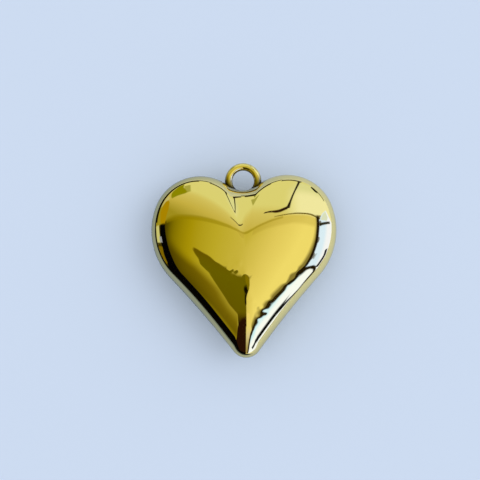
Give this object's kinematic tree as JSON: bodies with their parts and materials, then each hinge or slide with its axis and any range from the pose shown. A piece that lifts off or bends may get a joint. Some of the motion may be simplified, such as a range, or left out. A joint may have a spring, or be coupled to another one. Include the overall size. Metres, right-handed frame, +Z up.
{
  "type": "heart pendant",
  "caption": "Puffed heart pendant with a mirror gold finish and a small round hanging loop in the cleft between its lobes.",
  "frame": {"origin": "on the surface the pendant lies on, under the middle of its bounding box", "axes": "+Z up out of the front dome, +Y from the tip to the hanging loop, +X across the two lobes"},
  "size_m": [0.0262, 0.0276, 0.009],
  "materials": {
    "gold_plating": "mirror-bright yellow gold plating over a smooth moulding"
  },
  "bodies": {
    "root": {"heart_pendant": "gold_plating"}
  },
  "joints": []
}
